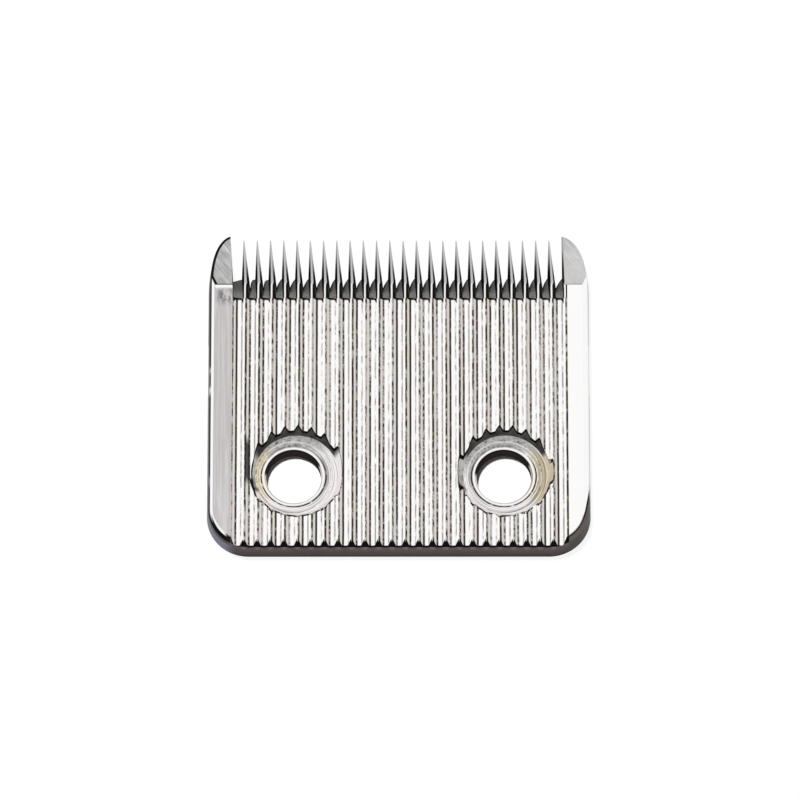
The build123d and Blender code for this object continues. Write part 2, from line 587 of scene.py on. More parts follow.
# %% Colour of the walls
def wall_colour(steel):
    """Walls, painted with shade and light: dark on the heel, blue grey on the left, bright on the
    right.
    """
    cloud = steel.streaks(0.5, 0.5, shift=11.0)
    under_rib = steel.line(across_rib(steel), 0.0, 0.26, 0.16) * steel.ramp(steel.z, 1.9, 2.5)
    # The heel wall is painted dark as shade, darkest along its foot.
    heel_wall = steel.cover(
        (0.052, 0.038, 0.037),
        (steel.ramp(steel.z, 0.2, 2.8), (0.118, 0.092, 0.088)),
        (steel.ramp(cloud, 0.35, 0.7) * 0.5, (0.06, 0.045, 0.044)),
        (under_rib, (0.165, 0.15, 0.14)),
        (steel.line(steel.z, 0.0, 0.35, 0.1), (0.016, 0.012, 0.012)),
    )
    # The left walls are painted darker than the right ones, as their shaded side.
    left_wall = steel.cover(
        (0.185, 0.187, 0.235),
        (steel.ramp(steel.y, -2.0, 4.0), (0.175, 0.18, 0.18)),
        (steel.line(steel.z, shoulder_level, 0.8, 0.2), 0.06),
        (steel.ramp(steel.y, 10.0, 20.0), (0.045, 0.045, 0.048)),
    )
    right_wall = steel.cover(
        0.93,
        (steel.line(steel.z, 0.0, 1.0, 0.3), (0.30, 0.30, 0.31)),
        (steel.fall(steel.y, -3.4, -0.4), (0.055, 0.047, 0.046)),
    )
    # The left lug's wall is painted dark as shade.
    left_lug = steel.ramp(steel.y, crease - 0.5, crease + 0.5) * (1 - steel.on_right())
    return steel.cover(
        left_wall,
        (steel.on_right(), right_wall),
        (steel.ramp(-steel.facing_y, 0.80, 0.97), heel_wall),
        (left_lug, (0.10, 0.10, 0.105)),
    )


# %% Colour of the chamfer
def chamfer_colour(steel):
    """Chamfer: painted bright on the left and dark on the right as lit and shaded sides, black
    across the ribs at the heel.
    """
    cloud = steel.streaks(1.2, 1.2, shift=17.0)
    along_side = steel.streaks(0.3, 0.22, detail=2.0, shift=23.0)
    at_heel = steel.ramp(-steel.facing_y, 0.05, 0.3)
    outer = steel.fall(steel.z, shoulder_level + 0.38, shoulder_level + 0.44)
    inner = steel.ramp(steel.z, thickness - 0.10, thickness - 0.05)
    side_line = steel.fall(steel.z, shoulder_level + 0.17, shoulder_level + 0.23)
    before_ribs = steel.ramp(steel.x, -22.4, -21.9) * at_heel
    left = steel.cover(
        bright_steel,
        (side_line * steel.ramp(along_side, 0.25, 0.45), 0.03),
        (inner, (0.55, 0.49, 0.50)),
        (at_heel, steel.blend(outer, bright_steel, burr_and_shade_black)),
        (before_ribs, steel.blend(steel.ramp(cloud, 0.5, 0.62), shadow_and_dust_black, 0.14)),
    )

    # The right chamfer is painted dark as the shaded side.
    taper = steel.ramp(steel.y, -7.0, -1.2)
    below_edge = thickness + 0.05 - (edge_chamfer / MM + 0.1) * taper - steel.z
    right = steel.cover(
        (0.045, 0.042, 0.038),
        (steel.ramp(cloud, 0.35, 0.65), (0.085, 0.08, 0.072)),
        (outer, (0.12, 0.105, 0.10)),
        (steel.fall(below_edge, 0.16, 0.24), 0.004),
        (steel.fall(below_edge, -0.02, 0.02), bright_steel),
    )
    colour = steel.blend(steel.on_right(), left, right)
    # Black across the ribs at the heel: partly burr, partly painted shade.
    return steel.blend(between_margins(steel) * at_heel, colour, burr_and_shade_black)


# %% Plate finish
def plate_finish():
    steel = Finish("ground_plate")
    fine = steel.streaks(9.0, 0.35)
    up = steel.ramp(steel.facing_z, 0.85, 0.97)
    down = steel.ramp(-steel.facing_z, 0.8, 0.95)
    slanted = steel.ramp(steel.facing_z, 0.35, 0.5)
    top = steel.blend(between_margins(steel), margin_colour(steel), rib_colour(steel))
    upper = steel.blend(up, chamfer_colour(steel), top)
    colour = steel.cover(
        wall_colour(steel), (slanted, upper), (down, steel.blend(fine, 0.42, 0.62))
    )
    rough = 0.3 + 0.12 * fine + 0.2 * (1 - slanted)
    return steel.close(colour, rough, height=fine, relief=0.004)


plate_steel = plate_finish()
blank.data.materials.append(plate_steel)

# %% [markdown]
# ## Finish of the grooves
#
# A groove is bright, with the lines of dust and painted shade from above, and it ends
# in a dark line at the heel, where the wheel ran out: partly burr, partly painted shade.
# The line follows the edge of the plate, which leans in as it rises. Use has rounded
# the flanks more finely than the mesh shows. More faces could show that too, at a
# great cost, so their normals are turned towards straight up instead: then they
# mirror the sky, and not the dark lines of the next rib.


# %% Groove finish
def groove_finish():
    steel = Finish("ground_groove")
    fine = steel.streaks(14.0, 0.3)
    from_heel = steel.y + heel - inset_here(steel)
    # The dark line at the heel is partly burr, partly painted shade.
    colour = steel.blend(steel.fall(from_heel, 0.25, 0.33), rib_colour(steel), burr_and_shade_black)
    rough = 0.26 + 0.15 * fine
    return steel.close(colour, rough, height=fine, relief=0.004, normal=steel.rounded(0.6))


groove_steel = groove_finish()

# %% [markdown]
# ## Finish of the bevel
#
# The bevel is ground in one pass that crosses the blade at a slant, so the two lugs
# carry diagonal scratches. On the teeth only a narrow bright land is left of it. The
# left lug is painted dark round its outer curve, as the shade of its wall, and the
# right lug has a dark line along its inner wall. An attribute on the mesh could hold
# the distance from the curve, but the ellipse of the outline gives it at once: the
# ellipse's own function, divided by how fast that function changes there.

# %% Distances on the two lugs
scratch_run = (0.82, 0.57)


def from_lug_edge(steel):
    """Distance in from the edge of the bevel along the left lug's outer curve."""
    width = left_lug_curve / MM
    reach = (front_edge - crease_distance) / MM
    beside = steel.most(abs(steel.x) - (side - width), 0.001)
    ahead = steel.y - crease
    level = steel.length(beside / width, ahead / reach)
    steepness = steel.length(beside / width**2, ahead / reach**2)
    return (1 - level) * level / steepness - inset_here(steel)


def from_inner_wall(steel):
    """Distance from the inner wall of the right lug."""
    past_foot = steel.y - tooth_sizes["Foot Left"] / MM
    wall = tooth_sizes["Right Gap Half"] / MM + tooth_sizes["Lug Draft"] * steel.z
    return steel.x - tooth_sizes["Right Lug Lean"] * past_foot - wall


# %% Bevel finish
def bevel_finish():
    steel = Finish("ground_bevel")
    along = steel.x * scratch_run[0] + steel.y * scratch_run[1]
    sideways = steel.x * scratch_run[1] - steel.y * scratch_run[0]
    scratch = steel.noise(along * 3.2, sideways * 0.3, 0.0, detail=5.0, roughness=0.7)
    long_scratch = steel.noise(along * 0.9, sideways * 0.05, 3.0, detail=2.0)
    cloud = steel.streaks(0.7, 0.7, detail=4.0, shift=14.0)
    scratched = steel.ramp(scratch, 0.30, 0.70)
    left_lug = steel.cover(
        (0.36, 0.35, 0.35),
        (scratched, (0.52, 0.51, 0.50)),
        (steel.ramp(cloud, 0.42, 0.66) * 0.6, (0.58, 0.56, 0.55)),
    )
    right_lug = steel.cover(
        (0.54, 0.535, 0.53),
        (scratched, (0.64, 0.63, 0.62)),
        (steel.ramp(cloud, 0.42, 0.62) * 0.6, (0.66, 0.64, 0.64)),
        (steel.ramp(steel.y - 0.8 * steel.x, 13.2, 15.8) * 0.6, (0.42, 0.44, 0.45)),
    )

    pale_lines = steel.line(long_scratch, 0.5, 0.008, 0.006)
    pale_lines = pale_lines + steel.line(long_scratch, 0.58, 0.006, 0.005)
    rightward = steel.on_right()
    # Painted shade round the left lug's outer curve; a dark line along the right lug's inner wall.
    outer_shade = steel.fall(from_lug_edge(steel), 0.31, 0.39) * (1 - rightward)
    inner_dark_line = steel.fall(from_inner_wall(steel), 0.10, 0.18) * rightward
    inner_dark_line = inner_dark_line * (0.35 + 0.65 * steel.fall(steel.y, 29.5, 33.0))
    crease_dark_line = steel.fall(steel.y, crease + 0.15, crease + 0.23)
    lug_colour = steel.cover(
        left_lug,
        (rightward, right_lug),
        (pale_lines * 0.55, 0.78),
        (outer_shade, 0.008),
        (inner_dark_line, shadow_and_dust_black),
        (crease_dark_line * (0.85 - 0.5 * rightward), 0.05),
    )
    land = steel.blend(steel.ramp(steel.y, 25.9, 26.6), 0.84, (0.53, 0.53, 0.535))
    colour = steel.blend(steel.ramp(abs(steel.x), 20.9, 21.2), land, lug_colour)
    return steel.close(colour, 0.34 + 0.1 * scratch, height=scratch, relief=0.006)


bevel_steel = bevel_finish()

# %% [markdown]
# ## Finish of the tooth slots
#
# A thin wheel cuts the slots. The flanks of the teeth are painted dark as shade near
# the root and lighter towards the open tip, the right flank sooner than the left. The
# gullets show the wheel's lines running down them, painted darker lower down as shade,
# and a black line along their upper edge is partly burr, partly painted shade. All 25
# slots share this material, because ramps along Y and Z and the way that a face looks
# say everything about it.


# %% Slot finish
def slot_finish():
    steel = Finish("ground_slot")
    lines = steel.streaks(5.0, 0.5, detail=4.0, shift=6.0)
    tint = steel.streaks(0.5, 0.2, detail=1.0, shift=13.0)
    grey = steel.blend(steel.ramp(tint, 0.42, 0.58), (0.25, 0.225, 0.22), (0.22, 0.235, 0.22))
    gullet = steel.cover(
        steel.blend(0.5, grey, 0.05),
        (steel.ramp(lines, 0.36, 0.64), grey),
        # Painted shade lower down the gullet, and a black line along its top, partly burr and
        # partly painted shade.
        (steel.ramp(steel.y, 24.9, 26.6) * 0.7, (0.052, 0.05, 0.048)),
        (steel.ramp(steel.z, groove_level - 0.20, groove_level - 0.14), deepest_black),
    )

    # Flanks painted dark as shade near the root and lighter towards the tip.
    left_flank = steel.blend(steel.ramp(steel.y, 28.6, 33.6), burr_and_shade_black, (0.46, 0.46, 0.465))
    deep = steel.fall(steel.z, groove_level - 0.50, groove_level - 0.30)
    right_flank = steel.cover(
        0.010,
        (steel.ramp(steel.y, 27.6, 31.6), (0.52, 0.52, 0.525)),
        (deep * steel.fall(steel.y, 25.6, 26.6), (0.135, 0.125, 0.12)),
    )
    flank = steel.blend(steel.ramp(steel.facing_x, -0.2, 0.2), left_flank, right_flank)
    colour = steel.blend(steel.ramp(steel.facing_z, 0.25, 0.42), flank, gullet)
    rough = 0.16 + 0.14 * lines
    return steel.close(colour, rough, height=lines, relief=0.006, normal=steel.rounded(0.7))


slot_steel = slot_finish()

# %% [markdown]
# ## Finish of the screw seats
#
# The seats are turned, so their marks are rings round each hole. Each seat could
# have a material with a centre of its own, but the absolute value of X folds one onto
# the other. The distance from the nearer hole drives the rings and the dark line at
# the step. How a face looks
# tells the floor, the sloping wall and the bore apart. The wall is painted dark as
# shade on its far side and on the side that faces right, and where it cuts through
# the ribs its upper edge is a black burr; on its near side hooks of painted shadow
# hang at the cut ribs. The bright ring on the hole's cone is a painted highlight, and
# the far side of the cone and of the bore is painted dark as shade. A little oil has
# browned the outer side of each seat.

# %% Rings on a seat's floor: radius, half width and softness, in millimetres
seat_rings = {
    "pale": (4.75, 0.10, 0.06),
    "thin": (5.0, 0.03, 0.03),
    "wide olive": (4.85, 0.07, 0.06),
    "fine olive": (4.42, 0.03, 0.03),
    "step": (4.17, 0.095, 0.03),
    # The bright ring lies on the hole's cone and is a painted highlight.
    "bright": (3.88, 0.13, 0.05),
    "near": (3.68, 0.03, 0.03),
}
print(len(seat_rings), "rings on each seat")


# %% Seat floor
def seat_floor_colour(steel, beside, radius):
    """Rings, specks, the dark step and the oil."""
    ring = {name: steel.line(radius, *sizes) for name, sizes in seat_rings.items()}
    turning = steel.noise(radius * 5.0, beside * 0.10, steel.y * 0.10)
    mottle = steel.streaks(1.5, 1.5, detail=4.0, shift=4.0)
    specks = steel.streaks(3.2, 3.2, roughness=0.7, shift=9.0)
    step_noise = steel.noise(steel.x * 1.2, steel.y * 1.2, 3.0)
    rightward = steel.on_right()
    dull = steel.cover(
        (0.50, 0.495, 0.48),
        (steel.ramp(mottle, 0.38, 0.62), (0.27, 0.265, 0.255)),
        (steel.ramp(turning, 0.48, 0.60) * 0.5, 0.62),
        (steel.ramp(specks, 0.55, 0.64), (0.06, 0.055, 0.055)),
    )
    from_hole = beside * steel.choose(rightward, -1.0, 1.0)
    far = steel.ramp(steel.y - 0.35 * from_hole, 1.2, 4.2)

    oil_left = steel.ramp(beside + 0.6 * mottle, 2.8, 4.0) * (1 - rightward)
    oil_right = steel.ramp(beside + 0.6 * mottle, 2.4, 4.2) * rightward
    oil = (oil_left + oil_right) * steel.line(steel.y, 0.0, 3.3, 1.5)
    tan = steel.cover(
        (0.88, 0.80, 0.66),
        (steel.ramp(turning, 0.44, 0.56), (0.58, 0.48, 0.29)),
        (rightward * steel.ramp(turning, 0.40, 0.56) * 0.8, (0.30, 0.235, 0.12)),
    )
    olive = (ring["wide olive"] + ring["fine olive"]) * steel.ramp(mottle, 0.40, 0.60)
    thin_ring = ring["thin"] * steel.ramp(mottle, 0.42, 0.55)
    near_half = 1 - 0.65 * steel.ramp(steel.y, 0.5, 3.2)
    step = ring["step"] * steel.ramp(step_noise, 0.30, 0.48) * near_half
    near_ring = ring["near"] * steel.ramp(-steel.y, -1.0, 1.0)
    return steel.cover(
        (0.91, 0.87, 0.865),
        (steel.ramp(turning, 0.46, 0.61), (0.39, 0.37, 0.36)),
        (far * 0.9, dull),
        (ring["pale"] * 0.5, (0.88, 0.86, 0.85)),
        (thin_ring * 0.6, (0.16, 0.15, 0.15)),
        (oil * 0.8, tan),
        (oil * olive * 0.9, (0.17, 0.135, 0.035)),
        (step, steel.blend(oil_left, 0.02, (0.09, 0.06, 0.015))),
        (ring["bright"] * 0.9, bright_steel),
        (near_ring * 0.6, (0.30, 0.30, 0.32)),
    )


# %% Seat walls
def seat_wall_colour(steel):
    """Sloping wall: painted shade on the far side and on the side that faces right, bright with
    hooks of painted shadow on the near one.
    """
    cloud = steel.streaks(1.0, 1.0, shift=12.0)
    below_rib = rib_surface(steel) - steel.z
    rightward = steel.on_right()
    # The far wall is painted dark as shade, black along its upper edge where it cuts the ribs.
    far_wall = steel.cover(
        0.034,
        (steel.ramp(cloud, 0.35, 0.65), (0.068, 0.067, 0.064)),
        (steel.fall(below_rib, 0.26, 0.36), deepest_black),
    )

    facing_left = steel.ramp(-steel.facing_x, 0.5, 0.7)
    hook_depth = steel.choose(facing_left, 0.40, 0.24)
    rib_cut = steel.ramp(steel.z, groove_level - 0.15, groove_level)
    # Hooks of painted shadow below the cut ribs on the near wall.
    hook = steel.fall(below_rib - hook_depth, -0.1, 0.0) * rib_cut
    oiled = steel.blend(cloud, (0.44, 0.36, 0.20), (0.80, 0.72, 0.60))
    near_wall = steel.cover(
        (0.86, 0.82, 0.81),
        (facing_left * rightward, oiled),
        (hook * steel.ramp(cloud, 0.30, 0.42), shadow_and_dust_black),
    )

    # The side that faces right is painted grey as shade, with a black edge.
    edge = steel.fall(below_rib, 0.24, 0.34)
    low_left = (1 - rightward) * steel.fall(steel.y, -1.9, -1.3)
    side_wall = steel.cover(
        0.20,
        (steel.ramp(cloud, 0.30, 0.60), (0.50, 0.49, 0.47)),
        (steel.most(edge, low_left), burr_and_shade_black),
    )
    return steel.cover(
        near_wall,
        (steel.ramp(steel.heelward(25.0), -0.05, 0.10), far_wall),
        (steel.ramp(steel.facing_x, 0.73, 0.83), side_wall),
    )


# %% Seat finish
def seat_finish():
    steel = Finish("turned_seat")
    beside = abs(steel.x) - hole_x / MM
    radius = steel.length(beside, steel.y)
    # The far side of the bore and the lower far side of the cone are painted dark as shade.
    far_bore = steel.ramp(-steel.facing_y, -0.3, 0.2)
    bore = steel.blend(far_bore, (0.42, 0.40, 0.38), (0.026, 0.019, 0.017))
    far_cone = steel.fall(radius, 3.74, 3.80) * steel.ramp(steel.heelward(9.8), 0.08, 0.16)
    colour = steel.cover(
        seat_floor_colour(steel, beside, radius),
        (far_cone, (0.016, 0.012, 0.011)),
        (steel.fall(steel.facing_z, 0.6, 0.75), seat_wall_colour(steel)),
        (steel.fall(steel.facing_z, 0.2, 0.35), bore),
    )
    turning = steel.noise(radius * 6.0, beside * 0.12, steel.y * 0.12)
    rough = 0.28 + 0.2 * turning
    return steel.close(colour, rough, height=turning, relief=0.01, normal=steel.rounded(0.5))


seat_steel = seat_finish()

# %% [markdown]
# ## Finish of the relief channel
#
# The channel on the hidden side is only ground roughly, across the blade, and never
# polished. Fine streaks along X and a dull grey say that.


# %% Relief finish
def relief_finish():
    steel = Finish("relief_channel")
    fine = steel.streaks(0.4, 8.0)
    return steel.close(steel.blend(fine, 0.22, 0.4), 0.4 + 0.1 * fine, height=fine, relief=0.004)


relief_steel = relief_finish()

# %% [markdown]
# ## One tree for each cut
#
# Every cut works the same way: a cutter is made from named sizes, copied to where it
# bites, and taken out of the steel with a Mesh Boolean. Boolean modifiers with cutter
# objects would do the same, but they would scatter the sizes over many objects. The
# cutter's faces carry the attribute "fresh", the boolean hands it on to the faces
# that it leaves, and Set Material gives only those the finish of this cut.


# %% A tree for one cut
class Cut(Nodes):
    """A Geometry Nodes tree that takes cutters out of the steel."""

    def __init__(self, name, sizes, finish):
        self.group = bpy.data.node_groups.new(name, "GeometryNodeTree")
        super().__init__(self.group)
        face = self.group.interface
        face.new_socket("Steel", in_out="OUTPUT", socket_type="NodeSocketGeometry")
        face.new_socket("Steel", in_out="INPUT", socket_type="NodeSocketGeometry")
        for size, amount in sizes.items():
            kind = "NodeSocketInt" if isinstance(amount, int) else "NodeSocketFloat"
            face.new_socket(size, in_out="INPUT", socket_type=kind)
        face.new_socket("Finish", in_out="INPUT", socket_type="NodeSocketMaterial")
        entry = self.group.nodes.new("NodeGroupInput")
        self.size = {socket.name: Value(self, socket) for socket in entry.outputs if socket.name}
        self.settings = {**sizes, "Finish": finish}
        self.steel = self.store(self.size["Steel"], "fresh", 0.0)

    def store(self, geometry, name, content, kind="FLOAT", domain="FACE"):
        """Write an attribute on a geometry."""
        return self.add(
            "GeometryNodeStoreNamedAttribute",
            {"data_type": kind, "domain": domain},
            {"Geometry": geometry, "Name": name, "Value": content},
        )

    def read(self, name, kind="FLOAT"):
        """Read an attribute."""
        return self.add("GeometryNodeInputNamedAttribute", {"data_type": kind}, {"Name": name})

    def here(self):
        """The x, y and z of each point."""
        return self.split(self.add("GeometryNodeInputPosition"))

    def cube(self, x_count=2, y_count=2, z_count=2):
        """A cube with sides of 1 round the middle, and so many points along each."""
        counts = {"Vertices X": x_count, "Vertices Y": y_count, "Vertices Z": z_count}
        return self.add("GeometryNodeMeshCube", sockets={"Size": (1, 1, 1), **counts})

    def place(self, geometry, x, y, z):
        """Put each point at a place of its own."""
        sockets = {"Geometry": geometry, "Position": self.join(x, y, z)}
        return self.add("GeometryNodeSetPosition", sockets=sockets)

    def row(self, count, start, offset):
        """Points in a row along X."""
        sockets = {
            "Count": count,
            "Start Location": self.join(start, 0.0, 0.0),
            "Offset": self.join(offset, 0.0, 0.0),
        }
        return self.add("GeometryNodeMeshLine", sockets=sockets)

    def instance(self, points, shape):
        sockets = {"Points": points, "Instance": shape}
        return self.add("GeometryNodeInstanceOnPoints", sockets=sockets)

    def realize(self, geometry):
        return self.add("GeometryNodeRealizeInstances", sockets={"Geometry": geometry})

    def take_out(self, cutter):
        """Subtract a closed cutter from the steel."""
        self.steel = self.add(
            "GeometryNodeMeshBoolean",
            {"operation": "DIFFERENCE", "solver": "MANIFOLD"},
            {"Mesh 1": self.steel, "Mesh 2": self.store(cutter, "fresh", 1.0)},
        )

    def put_on(self, piece):
        """End the tree, add it to a piece and set its inputs by identifier."""
        sockets = {
            "Geometry": self.realize(self.steel),
            "Selection": self.read("fresh") > 0.5,
            "Material": self.size["Finish"],
        }
        finished = self.add("GeometryNodeSetMaterial", sockets=sockets)
        self.add("NodeGroupOutput", sockets={"Steel": finished})
        modifier = piece.modifiers.new(self.group.name, "NODES")
        modifier.node_group = self.group
        for item in self.group.interface.items_tree:
            if item.in_out == "INPUT" and item.name in self.settings:
                modifier[item.identifier] = self.settings[item.name]
        print("cut:", self.group.name, "-", len(self.group.nodes), "nodes")


# %% [markdown]
# ## Ribs
#
# The ribs are what is left between the grooves. A ribbed sheet could be extruded and
# then trimmed to the outline, but the wheel cuts grooves, and so does this tree. One
# groove is a trapezoid with a filleted floor, swept along Y, and a row of points
# carries it across. A hand-fed wheel never runs quite true: a little noise moves the
# flanks sideways, and the crests come out a touch uneven, as the real ones are.

# %% Sizes of the grooves
lift = 0.05 * MM
groove_settings = {
    **rib_sizes,
    "Thickness": plate_thickness,
    "Near End": -heel_distance - lift,
    "Far End": front_edge + lift,
    "Lift": lift,
    "Wobble": 0.045 * MM,
    "Rows": 45,
}
wobble_waves = (900.0, 350.0, 500.0)
print("%d grooves" % (rib_sizes["Rib Count"] + 1))


# %% Cut the grooves
def one_groove(cut):
    """A closed bar of a groove's section, along Y and a little past both ends."""
    size = cut.size
    depth = size["Rib Height"] + size["Lift"]
    floor = size["Rib Pitch"] - size["Rib Crest"] - 2.0 * size["Rib Flank"]
    mouth = floor + 2.0 * size["Rib Flank"] * depth / size["Rib Height"]
    profile = cut.add(
        "GeometryNodeCurvePrimitiveQuadrilateral",
        {"mode": "TRAPEZOID"},
        {"Height": depth, "Bottom Width": mouth, "Top Width": floor, "Offset": 0.0},
    )
    radius = size["Groove Fillet"] * (cut.here()[1] > 0.0)
    profile = cut.add(
        "GeometryNodeFilletCurve",
        {"mode": "POLY"},
        {"Curve": profile, "Count": 8, "Radius": radius},
    )
    middle = size["Thickness"] + size["Lift"] - depth / 2.0
    ends = {
        "Start": cut.join(0.0, size["Near End"], middle),
        "End": cut.join(0.0, size["Far End"], middle),
    }
    path = cut.add("GeometryNodeCurvePrimitiveLine", sockets=ends)
    path = cut.add("GeometryNodeResampleCurve", sockets={"Curve": path, "Count": size["Rows"]})
    return cut.add(
        "GeometryNodeCurveToMesh",
        sockets={"Curve": path, "Profile Curve": profile, "Fill Caps": True},
    )


def cut_grooves(piece):
    cut = Cut("rib_grooves", groove_settings, groove_steel)
    size = cut.size
    start = -size["Rib Count"] / 2.0 * size["Rib Pitch"]
    row = cut.row(size["Rib Count"] + 1, start, size["Rib Pitch"])
    grooves = cut.realize(cut.instance(row, one_groove(cut)))
    place = cut.join(*[axis * waves for axis, waves in zip(cut.here(), wobble_waves)])
    noise = cut.add(
        "ShaderNodeTexNoise",
        {"noise_dimensions": "3D"},
        {"Vector": place, "Scale": 1.0, "Detail": 2.0},
    )
    shift = cut.join((noise - 0.5) * size["Wobble"], 0.0, 0.0)
    sockets = {"Geometry": grooves, "Offset": shift}
    cut.take_out(cut.add("GeometryNodeSetPosition", sockets=sockets))
    cut.put_on(piece)


cut_grooves(blank)

# %% [markdown]
# ## Bevel
#
# The bevel runs from the crease down to the thin tooth tips. A tilted block could
# grind it, but its angle and place would have to be worked out first. The cutter here
# is a cube whose corners are moved: where a corner of the cube lies says which corner
# of the wedge it becomes.


# %% Cut the bevel
def bevel_height(size, y):
    """Height of the bevel's plane at a distance from the screw holes."""
    fall = (size["Thickness"] - size["Tip Thickness"]) / (size["Tip"] - size["Crease"])
    return size["Thickness"] - fall * (y - size["Crease"])


def cut_bevel(piece):
    sizes = {
        "Thickness": plate_thickness,
        "Crease": tooth_sizes["Crease"],
        "Tip": tooth_sizes["Tip"],
        "Tip Thickness": tooth_sizes["Tip Thickness"],
        "Half Width": plate_half + lift,
        "Far End": front_edge + lift,
        "Lift": lift,
    }
    cut = Cut("bevel", sizes, bevel_steel)
    size = cut.size
    x, y, z = cut.here()
    place_x = x * 2.0 * size["Half Width"]
    place_y = cut.choose(y > 0.0, size["Crease"], size["Far End"])
    place_z = cut.choose(z > 0.0, bevel_height(size, place_y), size["Thickness"] + size["Lift"])
    cut.take_out(cut.place(cut.cube(), place_x, place_y, place_z))
    cut.put_on(piece)


cut_bevel(blank)

# %% [markdown]
# ## Teeth
#
# A tooth is what two slots leave standing. All slots share one rule: the two walls
# taper along Y, lean in towards the top and lean to one side as a whole, and a
# gullet slopes from the rib floor down to the running face. An array of one slot
# would be simpler, but no two of these slots are quite alike. So a row of cubes is
# made real, and then every corner is put in its place from the slot's number and from
# where it lay in its cube. The first and the last slot have a lug on one side and run
# out past it. On the real blade the first gullet stays shallow, and the feet of the
# next two are rounded.

# %% Sizes of the slots
slot_settings = {
    **tooth_sizes,
    "Rib Count": rib_sizes["Rib Count"],
    "Rib Pitch": rib_sizes["Rib Pitch"],
    "Thickness": plate_thickness,
    "Floor": plate_thickness - rib_sizes["Rib Height"],
    "Front": front_edge,
    "Lift": lift,
    "Unevenness": 0.22 * MM,
    "Seed": 11,
}
print(len(slot_settings), "sizes for the slots")


# %% A row of cubes that know their number and their corners
def slot_cubes(cut):
    """One real cube for each slot, with its number and its corners' old places."""
    cube = cut.cube(x_count=8, y_count=3, z_count=6)
    position = cut.add("GeometryNodeInputPosition")
    cube = cut.store(cube, "corner", position, "FLOAT_VECTOR", "POINT")
    row = cut.row(cut.size["Rib Count"] + 1, 0.0, cut.size["Rib Pitch"])
    index = cut.add("GeometryNodeInputIndex")
    return cut.realize(cut.store(cut.instance(row, cube), "number", index, "FLOAT", "INSTANCE"))


# %% Gullet and walls of a slot
def uneven(cut, number, offset):
    """A small chance difference of one slot from the next."""
    chance = cut.add(
        "FunctionNodeRandomValue",
        {"data_type": "FLOAT"},
        {"Min": -0.5, "Max": 0.5, "ID": number, "Seed": cut.size["Seed"] + offset},
        output=1,
    )
    return chance * cut.size["Unevenness"]


def gullet_foot(cut, number, across):
    """Distance from the screw holes to the foot of a slot's gullet."""
    size = cut.size
    first = number < 0.5
    worn = number < size["Worn Slots"] - 0.5
    foot_left = cut.choose(first, size["Foot Left"] + uneven(cut, number, 0), size["First Foot"])
    foot_right = size["Foot Right"] + uneven(cut, number, 5)
    rounding = cut.choose(first, cut.choose(worn, 1.15, 3.2), 1.0)
    foot_rise = 1.0 - (1.0 - across) ** rounding
    return foot_left + (foot_right - foot_left) * foot_rise


def slot_walls(cut, number, place_y, level):
    """Places of a slot's left and right wall; a lug bounds the outermost slots."""
    size = cut.size
    taper = (size["Root Width"] - size["Tip Width"]) / 2.0 / (size["Tip"] - size["Foot Left"])
    past_foot = place_y - size["Foot Left"]
    rib_left = (number - (size["Rib Count"] + 1) / 2.0) * size["Rib Pitch"]
    half_root = size["Root Width"] / 2.0
    lean = size["Lean"] * past_foot
    lug_draft = size["Lug Draft"] * level
    left = rib_left + half_root - taper * past_foot - size["Tooth Draft"] * level + lean
    right = rib_left + size["Rib Pitch"] - half_root + taper * past_foot
    right = right + size["Tooth Draft"] * level + lean
    left_lug = size["Left Lug Lean"] * past_foot - size["Left Gap Half"] - lug_draft
    right_lug = size["Right Lug Lean"] * past_foot + size["Right Gap Half"] + lug_draft
    left = cut.choose(number < 0.5, left, left_lug)
    return left, cut.choose(number > size["Rib Count"] - 0.5, right, right_lug)


# %% Cut the slots and trim the tips
def trim_tips(cut):
    """Grind the tooth tips back to one line between the lugs."""
    size = cut.size
    half_width = size["Rib Count"] / 2.0 * size["Rib Pitch"]
    shift = size["Lean"] * (size["Tip"] - size["Foot Left"])
    x, y, z = cut.here()
    place_x = x * 2.0 * half_width + shift
    place_y = size["Tip"] + (y + 0.5) * (size["Front"] - size["Tip"] + size["Lift"])
    cut.take_out(cut.place(cut.cube(), place_x, place_y, z * 2.0 * size["Thickness"]))


def cut_slots(piece):
    cut = Cut("tooth_slots", slot_settings, slot_steel)
    size = cut.size
    slots = slot_cubes(cut)
    number = cut.read("number")
    across, along, up = cut.split(cut.read("corner", "FLOAT_VECTOR"))
    across = across + 0.5
    up = up + 0.5
    front = along > 0.25
    outermost = cut.most(number < 0.5, number > size["Rib Count"] - 0.5)

    bottom = -size["Lift"]
    mouth = cut.choose(outermost, size["Tip"], size["Front"]) + size["Lift"]
    crown = cut.choose(front, size["Thickness"], bevel_height(size, mouth)) + size["Lift"]
    level = bottom + (crown - bottom) * up
    foot = gullet_foot(cut, number, across)
    gullet_top = size["Gullet Top"] - size["Gullet Slant"] * (across - 0.5)
    gullet = foot - (foot - gullet_top) * level / size["Floor"]
    waist_low = (foot + mouth) / 2.0
    waist = waist_low + (size["Crease"] - waist_low) * up
    place_y = cut.choose(along < -0.25, cut.choose(front, waist, mouth), gullet)
    left, right = slot_walls(cut, number, place_y, level)
    cut.take_out(cut.place(slots, left + (right - left) * across, place_y, level))
    trim_tips(cut)
    cut.put_on(piece)


cut_slots(blank)

# %% [markdown]
# ## Screw seats
#
# Each seat is three turned shapes: the sloping wall down to the flat floor, the cone
# round the hole, and the hole. One profile spun round the axis would give all three,
# but the wall was cut in a setting of its own and stands a few tenths of a millimetre
# off the hole's centre. So each shape is a cone, and two points carry it.


# %% One turned shape at both holes
round_steps = 128


